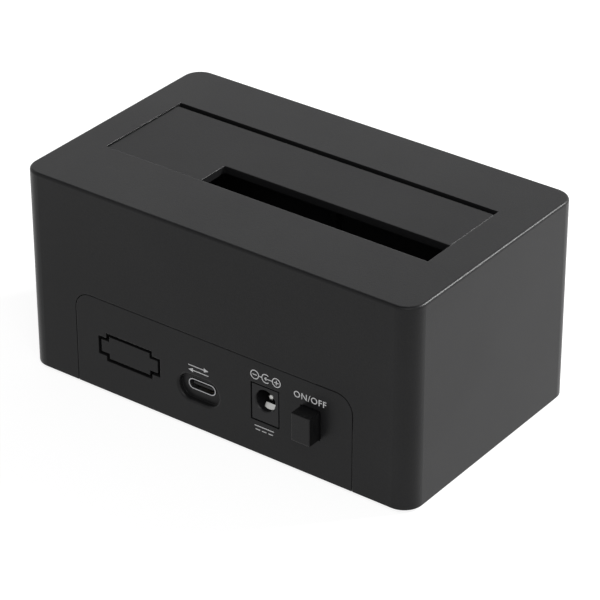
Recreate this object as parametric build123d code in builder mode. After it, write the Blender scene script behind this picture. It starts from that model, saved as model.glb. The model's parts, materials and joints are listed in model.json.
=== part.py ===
"""Single-bay docking station for a bare 3.5 inch or 2.5 inch hard drive.

The drive stands on its connector end in an open bay. A sprung flap closes the bay for the wide drive and
leaves an open slot for the slim one. The frame is in millimetres: X runs along the case, -Y is the front,
+Y is the face with the ports, +Z is up. The origin is on the table, under the middle of the footprint,
which counts the button as well as the case.
"""

import os
from math import cos, hypot, pi, radians, sin, sqrt

from build123d import *

os.makedirs("parts", exist_ok=True)

# Case
case_corner_radius = 5.5
case_wall = 2.2
case_top_wall = 2.4
case_top_edge_radius = 0.8
bay_end_margin = 10.75  # from each end of the bay to the end of the case
bay_front_margin = 19.8  # from the front of the bay to the front face
bay_offset_x = 0.5  # the bay sits this far off the middle of the case
overrun = 1.0  # how far a cutting shape runs past the faces it cuts

# Drives, and the room round them in the bay
wide_drive_width = 101.6
wide_drive_thickness = 26.1
slim_drive_width = 69.85
slim_drive_thickness = 9.5
drive_side_clearance = 0.95
drive_rear_clearance = 0.5
slim_drive_face_clearance = 0.3
flap_room = 5.1  # bay depth kept for the folded flap, beyond the wide drive

# Dust flap and its hinge; the flap's underside is level with the case's ceiling
flap_gap = 0.3
flap_hinge_gap = 1.6  # the wide dark gap beside the hinge
flap_drop = 0.25  # the flap lies this far below the top face
flap_edge_bevel = 0.1
flap_corner_radius = 0.4
flap_lug_radius = 1.7
flap_lug_width = 3.0
flap_lug_inset = 1.5  # from each end of the flap
flap_lug_web_length = 3.6
flap_tab_width = 5.0
flap_tab_reach = 1.3  # how far a stop tab reaches under the rim
flap_tab_root = 3.0
flap_tab_thickness = 1.2
flap_tab_rim_gap = 0.15
flap_tab_inset = 5.0  # from each end of the flap's free edge
flap_rib_width = 1.2
flap_rib_height = 1.0
flap_rib_inset = 6.0  # from the edges of the slot
flap_cross_rib_inset = 12.0  # from each end of the flap
flap_floor_clearance = 1.05  # between the hanging flap and the floor of the bay
hinge_rod_radius = 0.75
hinge_running_clearance = 0.05
hinge_head_clearance = 0.3  # between the lugs and the ceiling
hinge_setback = 0.2  # the hinge line lies this far behind the bay's edge

# Torsion springs on the hinge rod
torsion_wire_radius = 0.25
torsion_pitch = 1.0
torsion_turns = 4
torsion_lug_gap = 0.5
torsion_flap_leg = 6.0
torsion_wall_leg = 7.0
coil_sample_count = 240  # points on a coil's middle line when its gap is measured

# Drive cradle, the tub inside the case
cradle_wall = 1.6
cradle_ease = 0.3  # the tub stands back this far from the edge of the opening
cradle_front_clearance = 0.4
cradle_corner_radius = 1.0
cradle_floor_thickness = 1.6
cradle_floor_drop = 2.6  # floor below the connector's mating face
cradle_pad_width = 3.0  # pads on the floor carry the drive's end
cradle_pad_depth = 12.0
cradle_pad_drop = 0.2  # pads below the connector's mating face
cradle_pad_gap = 2.0  # between a pad and the connector
cradle_pad_inset = 4.0  # from the end of the bay
cradle_rib_width = 1.4
cradle_rib_proud = 0.15
cradle_rib_inset = 6.0  # ribs on the long wall, from the ends of the slot
cradle_rib_top_margin = 8.0
cradle_end_rib_insets = (3.0, 16.3)  # ribs on the end walls, from the rear of the bay
cradle_backstop_width = 2.0
cradle_backstop_gap = 0.4
cradle_backstop_drop = 9.0  # below the hinge line
cradle_backstop_height = 14.0
cradle_backstop_inset = 12.0  # from each end of the flap
cradle_window_clearance = 0.7
cradle_tab_window_margin = 1.0
cradle_ear_radius = 3.8
cradle_ear_thickness = 2.0
cradle_ear_wall_gap = 0.3  # between the shell's boss and the tub
cradle_ear_end_inset = 9.0
cradle_ear_drop = 0.7  # the ears stand this far below the windows for the stop tabs

# Screws, self-tapping, with cross recesses
screw_shank_radius = 1.05
screw_pilot_clearance = 0.05
screw_passage_clearance = 0.35
screw_head_radius = 2.4
screw_head_height = 1.5
screw_head_edge = 0.4
screw_cross_length = 2.8
screw_cross_width = 0.55
screw_cross_depth = 0.8
cradle_screw_length = 7.0
board_screw_length = 5.5
base_screw_length = 9.0

# Base tray and feet
foot_proud = 1.0  # how far the feet lift the case off the table
foot_radius = 5.0
foot_edge_radius = 0.5
foot_pocket_clearance = 0.2
foot_pocket_depth = 0.7
foot_pocket_margin = 0.6  # from a foot's pocket to the edge of the tray
tray_thickness = 2.2
tray_recess = 0.4  # underside of the tray above the shell's lower edge
tray_gap = 0.3
tray_rim_width = 1.2
tray_rim_height = 2.0
tray_rim_side_gap = 0.2
post_radius = 3.5
post_pilot_depth = 12.0
post_rib_thickness = 1.4
base_boss_radius = 5.0
base_boss_height = 3.0
base_counterbore_clearance = 0.4
base_counterbore_depth = 2.4
vent_length = 14.0
vent_width = 2.0
vent_pitch = 5.0
vent_row_spread = 30.0
vent_count = 7

# Port panel, the upright rear edge of the tray
panel_height = 27.7
panel_corner_radius = 5.0
panel_thickness = 2.0
panel_seam = 0.25
panel_lip_overlap = 1.6
panel_lip_thickness = 1.0
panel_lip_gap = 0.2
panel_blank_margin = 7.3  # from the blanked port to the panel's +X end
panel_button_margin = 10.1  # from the button to the panel's -X end

# Circuit board
board_thickness = 1.6
board_top_height = 10.3  # above the shell's lower edge
board_front_margin = 6.0
board_panel_gap = 0.2
board_post_gap = 0.7
board_corner_radius = 1.5
board_post_radius = 2.8
board_post_end_inset = 6.0
board_post_front_inset = 5.0
board_post_rear_inset = 12.0

# Drive connector, 15 power and 7 data contacts in one housing
connector_from_drive_edge = 30.12  # edge of either drive to the middle of its connector
connector_from_drive_base = 3.5
connector_end_block = 4.58
connector_width = 5.8
connector_bevel = 0.6
connector_slot_depth = 6.5
connector_slot_width = 1.8
connector_slot_bridge = 2.4
connector_key_width = 1.2
connector_key_reach = 1.3
contact_pitch = 1.27
contact_width = 0.7
contact_thickness = 0.25
contact_height = 5.0
contact_slot_margin = 1.41  # from the last contact's middle to the end of its slot
power_contact_count = 15
data_contact_count = 7

# Power jack
jack_board_share = 0.3265  # place along the board, from its -X end
jack_length = 14.2
jack_width = 8.4
jack_height = 10.5
jack_sink = 0.05  # front of the jack below the panel's face
jack_panel_gap = 0.42
jack_bore_radius = 3.1
jack_bore_depth = 10.5
jack_bore_bevel = 0.3
jack_top_wall = 1.06
jack_pin_radius = 1.0
jack_pin_tip_radius = 0.8
jack_pin_setback = 2.2
jack_leaf_width = 3.0
jack_leaf_thickness = 0.3
jack_leaf_setback = 1.6
jack_leaf_length = 6.5
jack_leaf_lip_length = 0.9  # the steep front end that guides the plug over the leaf
jack_leaf_rise = 1.3
jack_leaf_bow_share = 0.62  # height of the leaf halfway along, as a share of its rise
jack_tab_width = 2.4
jack_tab_thickness = 0.4
jack_tab_tail = 1.4
jack_tab_insets = (3.0, 8.5)  # two tabs, measured from the back of the jack

# Reversible data socket in a shallow stadium-shaped recess
socket_board_share = 0.5435
socket_width = 8.94
socket_thickness = 3.16
socket_shell_wall = 0.28
socket_length = 8.6
socket_proud = 0.15  # shell in front of the recess floor
socket_hole_gap = 0.12
socket_tongue_width = 6.7
socket_tongue_thickness = 0.7
socket_tongue_setback = 0.7
socket_back_block = 2.0
socket_stand_width = 7.6
socket_stand_height = 0.3
socket_stand_inset = 0.5
socket_contact_pitch = 0.5
socket_contact_width = 0.28
socket_contact_thickness = 0.08
socket_contact_length = 3.6
socket_contact_setback = 0.5
socket_contact_count = 12
recess_width = 13.1
recess_height = 7.5
recess_depth = 1.6
recess_lip_radius = 0.8
recess_shift_x = 0.1  # middle of the recess from the middle of the socket
recess_shift_z = -0.4
recess_floor_thickness = 1.2
recess_boss_wall = 1.0

# Power switch and its button
button_board_share = 0.183
button_width = 5.7
button_tallness = 8.2
button_proud = 4.3
button_panel_gap = 0.3
button_edge_radius = 0.25
button_flange = 0.8
button_flange_gap = 0.1
button_socket_depth = 2.6
button_socket_clearance = 0.05
button_travel = 2.2
button_switch_gap = 2.9  # left between the pressed button and the switch
switch_width = 8.5
switch_height = 11.0
switch_front_wall = 0.8
switch_back_wall = 1.6
switch_stem_width = 3.0
switch_stem_clearance = 0.15
switch_cradle_gap = 0.6  # between the switch and the drive cradle
plunger_width = 4.0
plunger_clearance = 0.2
plunger_length = 5.6
switch_pin_width = 0.8
switch_pin_thickness = 0.3
switch_pin_tail = 1.4
switch_pin_pitch = 2.5
switch_pin_row_spread = 5.0
switch_spring_length = 4.0
switch_spring_radius = 1.3
switch_spring_wire_radius = 0.2
switch_spring_turns = 4

# Blanked port, a filler plate in a cross-shaped opening
blank_board_share = 0.776
blank_above_board = 3.5
blank_ear_span = 21.0
blank_ear_height = 5.6
blank_body_span = 15.6
blank_body_height = 8.6
blank_groove = 0.95
blank_flange_overlap = 0.8
blank_flange_thickness = 1.2
blank_sink = 0.1

# Status light in the front wall
light_board_share = 0.5
light_pipe_radius = 1.5
light_pipe_gap = 0.05
light_flange_radius = 2.4
light_flange_thickness = 0.9
light_pipe_tail = 1.4
led_radius = 1.5
led_dome_radius = 1.35
led_length = 3.6
led_base_radius = 1.9
led_base_thickness = 1.0
led_board_gap = 1.2
led_gap = 0.3
led_lead_radius = 0.25
led_lead_spread = 1.27
led_lead_bend_radius = 0.8
led_lead_run = 1.6

# Parts on the board: size along X, along Y and height, then the place as shares of the board
bridge_chip_size = (9.0, 9.0, 0.9)
bridge_chip_place_shares = (0.36, 0.78)
flash_chip_size = (4.9, 3.9, 1.5)
flash_chip_place_shares = (0.22, 0.62)
regulator_chip_size = (6.5, 3.5, 1.6)
regulator_chip_place_shares = (0.86, 0.5)
crystal_size = (3.2, 2.5, 0.8)
crystal_place_shares = (0.24, 0.86)
inductor_size = (7.0, 7.0, 3.2)
inductor_place_shares = ((0.62, 0.3), (0.74, 0.3))
inductor_corner_radius = 1.6
inductor_core_radius = 2.4
inductor_core_depth = 0.3
can_capacitor_radius = 3.15
can_capacitor_height = 7.7
can_capacitor_base = 0.8
can_capacitor_top_radius = 0.5
can_capacitor_place_shares = ((0.34, 0.2), (0.44, 0.2), (0.82, 0.22))
can_cradle_gap = 0.7  # between the tallest part on the board and the cradle
chip_capacitor_size = (2.0, 1.25, 1.2)
chip_capacitor_column_pitch = 4.0
chip_capacitor_row_pitch = 3.0
chip_capacitor_column_count = 4
chip_capacitor_row_count = 3
chip_capacitor_place_shares = (0.52, 0.5)
chip_edge_bevel = 0.2

# The bay takes the wide drive and the folded flap; behind it stand the switch and the port panel
bay_length = wide_drive_width + 2 * drive_side_clearance
bay_depth = wide_drive_thickness + drive_rear_clearance + flap_room
switch_panel_clearance = button_flange_gap + button_flange + button_travel + button_switch_gap
switch_length = switch_front_wall + plunger_length + switch_spring_length + switch_back_wall
bay_rear_margin = (
    panel_thickness + switch_panel_clearance + switch_length + switch_cradle_gap + cradle_wall + cradle_ease
)

# Case in plan
case_length = bay_length + 2 * bay_end_margin
case_depth = bay_front_margin + bay_depth + bay_rear_margin
case_center_y = -button_proud / 2
front_face_y = case_center_y - case_depth / 2
rear_face_y = case_center_y + case_depth / 2
panel_inner_y = rear_face_y - panel_thickness
bay_x_min = bay_offset_x - bay_length / 2
bay_x_max = bay_offset_x + bay_length / 2
bay_y_max = rear_face_y - bay_rear_margin
bay_y_min = bay_y_max - bay_depth
slot_length = slim_drive_width + 2 * drive_side_clearance
slot_width = slim_drive_thickness + drive_rear_clearance + slim_drive_face_clearance
slot_x_max = bay_x_min + slot_length
slot_y_min = bay_y_max - slot_width

# Heights: the connector lifts the bay's floor over the board, and the hanging flap sets the case's height
shell_bottom = foot_proud
board_top = shell_bottom + board_top_height
board_bottom = board_top - board_thickness
connector_height = can_capacitor_height + can_cradle_gap + cradle_floor_thickness + cradle_floor_drop
connector_top = board_top + connector_height
cradle_floor_top = connector_top - cradle_floor_drop
cradle_floor_bottom = cradle_floor_top - cradle_floor_thickness
hinge_y = bay_y_min - hinge_setback
flap_swing_radius = hypot(
    bay_y_max + flap_tab_reach - hinge_y,
    hinge_head_clearance + flap_lug_radius - flap_tab_rim_gap,
)
hinge_z = cradle_floor_top + flap_floor_clearance + flap_swing_radius
shell_ceiling = hinge_z + flap_lug_radius + hinge_head_clearance
shell_top = shell_ceiling + case_top_wall

# Flap
flap_top = shell_top - flap_drop
flap_bottom = shell_ceiling
flap_x_min = bay_x_min + flap_gap
flap_x_max = bay_x_max - flap_gap
flap_y_min = bay_y_min + flap_hinge_gap
flap_y_max = bay_y_max - flap_gap
flap_lug_x = (
    flap_x_min + flap_lug_inset + flap_lug_width / 2,
    flap_x_max - flap_lug_inset - flap_lug_width / 2,
)
flap_tab_x = (
    slot_x_max + flap_tab_inset + flap_tab_width / 2,
    flap_x_max - flap_tab_inset - flap_tab_width / 2,
)
torsion_coil_radius = flap_lug_radius - torsion_wire_radius

# Cradle
cradle_x_min = bay_x_min - cradle_ease
cradle_x_max = bay_x_max + cradle_ease
cradle_y_max = bay_y_max + cradle_ease
cradle_y_min = hinge_y - flap_lug_radius - cradle_front_clearance
cradle_center_x = (cradle_x_min + cradle_x_max) / 2
cradle_center_y = (cradle_y_min + cradle_y_max) / 2
cradle_inner_length = cradle_x_max - cradle_x_min
cradle_inner_depth = cradle_y_max - cradle_y_min
tab_window_bottom = (
    hinge_z - sqrt(flap_swing_radius**2 - (cradle_y_max - hinge_y) ** 2) - cradle_tab_window_margin
)
cradle_ear_top = tab_window_bottom - cradle_ear_drop
cradle_ear_reach = cradle_wall + cradle_ear_wall_gap + cradle_ear_radius
cradle_ears = [
    (x, y)
    for x in (cradle_x_min + cradle_ear_end_inset, cradle_x_max - cradle_ear_end_inset)
    for y in (cradle_y_min - cradle_ear_reach, cradle_y_max + cradle_ear_reach)
]

# Screws, tray, posts and feet
screw_pilot_radius = screw_shank_radius + screw_pilot_clearance
screw_passage_radius = screw_shank_radius + screw_passage_clearance
tray_bottom = shell_bottom + tray_recess
tray_top = tray_bottom + tray_thickness
foot_top = tray_bottom + foot_pocket_depth
foot_pocket_radius = foot_radius + foot_pocket_clearance
post_inset = case_wall + tray_gap + foot_pocket_margin + foot_pocket_radius
post_x = case_length / 2 - post_inset
post_front_y = front_face_y + post_inset
post_rear_y = rear_face_y - post_inset
corner_posts = [(x, y) for x in (-post_x, post_x) for y in (post_front_y, post_rear_y)]
post_bottom = tray_top + base_boss_height
base_seat_z = foot_top + base_counterbore_depth
base_counterbore_radius = screw_head_radius + base_counterbore_clearance

# Board, and the places along it of what stands at its edges
board_x_max = post_x - post_radius - board_post_gap
board_x_min = -board_x_max
board_y_min = front_face_y + board_front_margin
board_y_max = panel_inner_y - blank_flange_thickness - board_panel_gap
button_x = board_x_min + button_board_share * (board_x_max - board_x_min)
jack_x = board_x_min + jack_board_share * (board_x_max - board_x_min)
socket_x = board_x_min + socket_board_share * (board_x_max - board_x_min)
blank_x = board_x_min + blank_board_share * (board_x_max - board_x_min)
light_x = board_x_min + light_board_share * (board_x_max - board_x_min)
board_posts = [
    (x, y)
    for x in (board_x_min + board_post_end_inset, board_x_max - board_post_end_inset)
    for y in (board_y_min + board_post_front_inset, board_y_max - board_post_rear_inset)
]

# Port panel
panel_x_min = button_x - button_width / 2 - panel_button_margin
panel_x_max = blank_x + blank_ear_span / 2 + panel_blank_margin
panel_length = panel_x_max - panel_x_min
panel_center_x = (panel_x_min + panel_x_max) / 2

# Drive connector
connector_power_slot = (power_contact_count - 1) * contact_pitch + 2 * contact_slot_margin
connector_data_slot = (data_contact_count - 1) * contact_pitch + 2 * contact_slot_margin
connector_slots_length = connector_power_slot + connector_slot_bridge + connector_data_slot
connector_length = connector_slots_length + 2 * connector_end_block
connector_x = bay_x_min + drive_side_clearance + connector_from_drive_edge
connector_y = bay_y_max - drive_rear_clearance - connector_from_drive_base

# Power jack
jack_front_y = rear_face_y - jack_sink
jack_rear_y = jack_front_y - jack_length
jack_bore_z = board_top + jack_height - jack_top_wall - jack_bore_radius
jack_bore_end_y = jack_front_y - jack_bore_depth

# Data socket
socket_z = board_top + socket_stand_height + socket_thickness / 2
recess_floor_y = rear_face_y - recess_depth
socket_front_y = recess_floor_y + socket_proud
socket_rear_y = socket_front_y - socket_length

# Button and switch
button_z = board_top + switch_height / 2
button_flange_y = panel_inner_y - button_flange_gap
button_back_y = button_flange_y - button_flange
switch_front_y = panel_inner_y - switch_panel_clearance
switch_rear_y = switch_front_y - switch_length
switch_cavity_end_y = switch_rear_y + switch_back_wall
plunger_front_y = switch_front_y - switch_front_wall

# Blanked port and status light
blank_place = (blank_x, board_top + blank_above_board)
light_z = board_top + led_board_gap + led_base_radius
light_place = (light_x, light_z)

# Planes: the rear one cuts inward with a positive amount, the front one with a negative amount
rear_plane = Plane.XZ.offset(-rear_face_y)
front_plane = Plane.XZ.offset(-front_face_y)


def board_place(shares):
    """The point on the board at these shares of its length and depth, with X counted from the +X end."""
    x = board_x_max - shares[0] * (board_x_max - board_x_min)
    y = board_y_min + shares[1] * (board_y_max - board_y_min)
    return (x, y)


def coil_line(radius, pitch, turns, start_degrees, extra_degrees, place):
    """Quarter arcs of a coil. place(u, v, w) puts a point of the coil, wound about w, in the frame."""
    quarters = 4 * turns + round(extra_degrees / 90)

    def point(quarter):
        angle = radians(start_degrees) + quarter * pi / 2
        return place(radius * cos(angle), radius * sin(angle), pitch * quarter / 4)

    for quarter in range(quarters):
        ThreePointArc(point(quarter), point(quarter + 1 / 2), point(quarter + 1))
    return point(0), point(quarters)


def least_turn_gap(line, radius, wire_radius):
    """The least clear distance of a coil to itself, between points at least half a turn apart."""
    wire = Wire(line.edges())
    points = [wire @ (index / coil_sample_count) for index in range(coil_sample_count + 1)]
    apart = round(coil_sample_count * pi * radius / wire.length)
    gaps = [
        (points[later] - points[index]).length - 2 * wire_radius
        for index in range(coil_sample_count + 1 - apart)
        for later in range(index + apart, coil_sample_count + 1)
    ]
    return min(gaps)


# Top shell: five-sided case with the bay opening, corner posts and the notch for the port panel
with BuildPart() as top_shell:
    with BuildSketch(Plane.XY.offset(shell_bottom)):
        with Locations((0, case_center_y)):
            RectangleRounded(case_length, case_depth, case_corner_radius)
    extrude(amount=shell_top - shell_bottom)
    fillet(top_shell.edges().group_by(Axis.Z)[-1], radius=case_top_edge_radius)
    with BuildSketch(Plane.XY.offset(shell_bottom)):
        with Locations((0, case_center_y)):
            RectangleRounded(
                case_length - 2 * case_wall,
                case_depth - 2 * case_wall,
                case_corner_radius - case_wall,
            )
    extrude(amount=shell_ceiling - shell_bottom, mode=Mode.SUBTRACT)
    with BuildSketch(Plane.XY.offset(shell_ceiling)):
        with Locations(((bay_x_min + bay_x_max) / 2, (bay_y_min + bay_y_max) / 2)):
            Rectangle(bay_length, bay_depth)
    extrude(amount=case_top_wall + overrun, mode=Mode.SUBTRACT)
    # Lip behind the seam of the port panel, then the notch that the panel fills
    with BuildSketch(rear_plane.offset(panel_thickness + panel_lip_gap)):
        with Locations((panel_center_x, shell_bottom)):
            Rectangle(
                panel_length + 2 * panel_lip_overlap,
                panel_height + panel_lip_overlap,
                align=(Align.CENTER, Align.MIN),
            )
        with Locations((panel_center_x, shell_bottom)):
            Rectangle(
                panel_length - 2 * panel_lip_overlap,
                panel_height - panel_lip_overlap,
                align=(Align.CENTER, Align.MIN),
                mode=Mode.SUBTRACT,
            )
        with Locations((panel_center_x, shell_bottom)):
            Rectangle(
                panel_length + 2 * panel_lip_overlap,
                2 * (tray_recess + tray_thickness + tray_rim_height),
                mode=Mode.SUBTRACT,
            )
    extrude(amount=panel_lip_thickness)
    with BuildSketch(rear_plane) as notch_outline:
        with Locations((panel_center_x, shell_bottom - overrun)):
            Rectangle(
                panel_length + 2 * panel_seam,
                panel_height + panel_seam + overrun,
                align=(Align.CENTER, Align.MIN),
            )
        fillet(notch_outline.vertices().group_by(Axis.Y)[-1], radius=panel_corner_radius + panel_seam)
    extrude(amount=panel_thickness + panel_lip_gap, mode=Mode.SUBTRACT)
    # Corner posts with ribs to the side walls
    with BuildSketch(Plane.XY.offset(post_bottom)):
        with Locations(*corner_posts):
            Circle(post_radius)
        for x, y in corner_posts:
            with Locations((x, y)):
                Rectangle(
                    post_inset - case_wall,
                    post_rib_thickness,
                    align=(Align.MIN if x > 0 else Align.MAX, Align.CENTER),
                )
    extrude(amount=shell_ceiling - post_bottom)
    with BuildSketch(Plane.XY.offset(post_bottom)):
        with Locations(*corner_posts):
            Circle(screw_pilot_radius)
    extrude(amount=post_pilot_depth, mode=Mode.SUBTRACT)
    # Bosses for the cradle screws
    with BuildSketch(Plane.XY.offset(cradle_ear_top)):
        with Locations(*cradle_ears):
            Circle(cradle_ear_radius)
            Circle(screw_pilot_radius, mode=Mode.SUBTRACT)
    extrude(amount=shell_ceiling - cradle_ear_top)
    # Hole for the status light
    with BuildSketch(front_plane):
        with Locations(light_place):
            Circle(light_pipe_radius + light_pipe_gap)
    extrude(amount=-case_wall, mode=Mode.SUBTRACT)

# Base tray: floor plate with posts and bosses, and the upright port panel
with BuildPart() as base_tray:
    tray_length = case_length - 2 * (case_wall + tray_gap)
    tray_depth = case_depth - 2 * (case_wall + tray_gap)
    tray_corner = case_corner_radius - case_wall - tray_gap
    with BuildSketch(Plane.XY.offset(tray_bottom)):
        with Locations((0, case_center_y)):
            RectangleRounded(tray_length, tray_depth, tray_corner)
        with Locations((panel_center_x, rear_face_y)):
            Rectangle(panel_length, case_depth / 2, align=(Align.CENTER, Align.MAX))
    extrude(amount=tray_thickness)
    with BuildSketch(rear_plane) as panel_outline:
        with Locations((panel_center_x, shell_bottom)):
            Rectangle(panel_length, panel_height, align=(Align.CENTER, Align.MIN))
        fillet(panel_outline.vertices().group_by(Axis.Y)[-1], radius=panel_corner_radius)
    extrude(amount=panel_thickness)
    # Rim along the front and sides, inside the shell
    with BuildSketch(Plane.XY.offset(tray_top)):
        with Locations((0, case_center_y)):
            RectangleRounded(tray_length, tray_depth, tray_corner)
            RectangleRounded(
                tray_length - 2 * tray_rim_width,
                tray_depth - 2 * tray_rim_width,
                tray_corner - tray_rim_width,
                mode=Mode.SUBTRACT,
            )
        with Locations((panel_center_x, rear_face_y)):
            Rectangle(
                panel_length + 2 * (panel_lip_overlap + tray_rim_side_gap),
                2 * post_inset,
                mode=Mode.SUBTRACT,
            )
    extrude(amount=tray_rim_height)
    # Screw bosses, counterbores and foot pockets under the corner posts
    with BuildSketch(Plane.XY.offset(tray_top)):
        with Locations(*corner_posts):
            Circle(base_boss_radius)
    extrude(amount=base_boss_height)
    with BuildSketch(Plane.XY.offset(tray_bottom)):
        with Locations(*corner_posts):
            Circle(screw_passage_radius)
    extrude(amount=tray_thickness + base_boss_height, mode=Mode.SUBTRACT)
    with BuildSketch(Plane.XY.offset(tray_bottom)):
        with Locations(*corner_posts):
            Circle(base_counterbore_radius)
    extrude(amount=base_seat_z - tray_bottom, mode=Mode.SUBTRACT)
    with BuildSketch(Plane.XY.offset(tray_bottom)):
        with Locations(*corner_posts):
            Circle(foot_pocket_radius)
    extrude(amount=foot_pocket_depth, mode=Mode.SUBTRACT)
    # Posts for the board
    with BuildSketch(Plane.XY.offset(tray_top)):
        with Locations(*board_posts):
            Circle(board_post_radius)
            Circle(screw_pilot_radius, mode=Mode.SUBTRACT)
    extrude(amount=board_bottom - tray_top)
    # Cooling slots
    with BuildSketch(Plane.XY.offset(tray_bottom)):
        with Locations((0, case_center_y)):
            with GridLocations(vent_row_spread, vent_pitch, 2, vent_count):
                SlotOverall(vent_length, vent_width)
    extrude(amount=tray_thickness, mode=Mode.SUBTRACT)
    # Boss behind the data socket, then the recess with its rounded lip and the hole for the socket
    recess_place = (socket_x + recess_shift_x, socket_z + recess_shift_z)
    with BuildSketch(rear_plane.offset(panel_thickness)):
        with Locations(recess_place):
            SlotOverall(recess_width + 2 * recess_boss_wall, recess_height + 2 * recess_boss_wall)
    extrude(amount=recess_depth + recess_floor_thickness - panel_thickness)
    with BuildSketch(rear_plane):
        with Locations(recess_place):
            SlotOverall(recess_width, recess_height)
    extrude(amount=recess_depth, mode=Mode.SUBTRACT)
    fillet(base_tray.edges(Select.LAST).group_by(Axis.Y)[-1], radius=recess_lip_radius)
    with BuildSketch(rear_plane):
        with Locations((socket_x, socket_z)):
            SlotOverall(socket_width + 2 * socket_hole_gap, socket_thickness + 2 * socket_hole_gap)
    extrude(amount=recess_depth + recess_floor_thickness, mode=Mode.SUBTRACT)
    # Openings for the jack, the button and the blanked port
    with BuildSketch(rear_plane):
        with Locations((jack_x, board_top + jack_height / 2)):
            Rectangle(jack_width + 2 * jack_panel_gap, jack_height + 2 * jack_panel_gap)
        with Locations((button_x, button_z)):
            Rectangle(button_width + 2 * button_panel_gap, button_tallness + 2 * button_panel_gap)
        with Locations(blank_place):
            Rectangle(blank_ear_span, blank_ear_height)
            Rectangle(blank_body_span, blank_body_height)
    extrude(amount=panel_thickness, mode=Mode.SUBTRACT)

# Rubber feet, pressed into the pockets of the tray and covering its screws
feet = {}
for side, foot_x in (("left", -post_x), ("right", post_x)):
    for end, foot_y in (("front", post_front_y), ("rear", post_rear_y)):
        with BuildPart() as foot:
            with BuildSketch(Plane.XY):
                with Locations((foot_x, foot_y)):
                    Circle(foot_radius)
            extrude(amount=foot_top)
            fillet(foot.edges().group_by(Axis.Z)[0], radius=foot_edge_radius)
        feet[f"foot_{end}_{side}"] = foot

# Dust flap: plate with a cut-out for slim drives, hinge lugs, stop tabs and ribs
with BuildPart() as dust_flap:
    with BuildSketch(Plane.XY.offset(flap_bottom)) as flap_outline:
        with Locations((flap_x_min, flap_y_min)):
            Rectangle(flap_x_max - flap_x_min, flap_y_max - flap_y_min, align=(Align.MIN, Align.MIN))
        with Locations((slot_x_max, slot_y_min)):
            Rectangle(
                slot_length + overrun,
                flap_y_max - slot_y_min + overrun,
                align=(Align.MAX, Align.MIN),
                mode=Mode.SUBTRACT,
            )
        fillet(flap_outline.vertices(), radius=flap_corner_radius)
    extrude(amount=flap_top - flap_bottom)
    chamfer(dust_flap.faces().sort_by(Axis.Z)[-1].edges(), length=flap_edge_bevel)
    # Ribs under the plate, along and across it
    with BuildSketch(Plane.XY.offset(flap_bottom - flap_rib_height)):
        with Locations((slot_x_max + flap_rib_inset, slot_y_min - flap_rib_inset)):
            Rectangle(flap_rib_width, flap_y_max - slot_y_min, align=(Align.CENTER, Align.MIN))
        with Locations((bay_offset_x, slot_y_min - flap_rib_inset)):
            Rectangle(
                flap_x_max - flap_x_min - 2 * flap_cross_rib_inset,
                flap_rib_width,
                align=(Align.CENTER, Align.MIN),
            )
    extrude(amount=flap_rib_height)
    # Hinge lugs
    with BuildSketch(Plane.YZ.offset(flap_lug_x[0] - flap_lug_width / 2)) as lug_outline:
        with Locations((hinge_y, hinge_z)):
            Circle(flap_lug_radius)
        with BuildLine():
            Polyline(
                (hinge_y, hinge_z + flap_lug_radius),
                (flap_y_min, (flap_bottom + flap_top) / 2),
                (flap_y_min + flap_lug_web_length, (flap_bottom + flap_top) / 2),
                (hinge_y + flap_lug_radius * cos(pi / 4), hinge_z - flap_lug_radius * sin(pi / 4)),
                (hinge_y, hinge_z),
                close=True,
            )
        make_face()
        with Locations((hinge_y, hinge_z)):
            Circle(hinge_rod_radius + hinge_running_clearance, mode=Mode.SUBTRACT)
    extrude(amount=flap_lug_width)
    extrude(lug_outline.sketch.moved(Location((flap_lug_x[1] - flap_lug_x[0], 0, 0))), amount=flap_lug_width)
    # Stop tabs that catch under the rim of the opening
    tab_top = shell_ceiling - flap_tab_rim_gap
    with BuildSketch(Plane.XY.offset(tab_top)):
        with Locations(*[(x, bay_y_max + flap_tab_reach) for x in flap_tab_x]):
            Rectangle(
                flap_tab_width,
                flap_tab_reach + flap_gap + flap_tab_root,
                align=(Align.CENTER, Align.MAX),
            )
    extrude(amount=-flap_tab_thickness)
    with BuildSketch(Plane.XY.offset(tab_top)):
        with Locations(*[(x, flap_y_max) for x in flap_tab_x]):
            Rectangle(flap_tab_width, flap_tab_root, align=(Align.CENTER, Align.MAX))
    extrude(amount=flap_bottom - tab_top)

# Steel rod through both lugs and the ends of the cradle
rod_length = cradle_inner_length + 2 * cradle_wall
with BuildPart() as hinge_rod:
    with BuildSketch(Plane.YZ.offset(cradle_center_x - rod_length / 2)):
        with Locations((hinge_y, hinge_z)):
            Circle(hinge_rod_radius)
    extrude(amount=rod_length)

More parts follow.
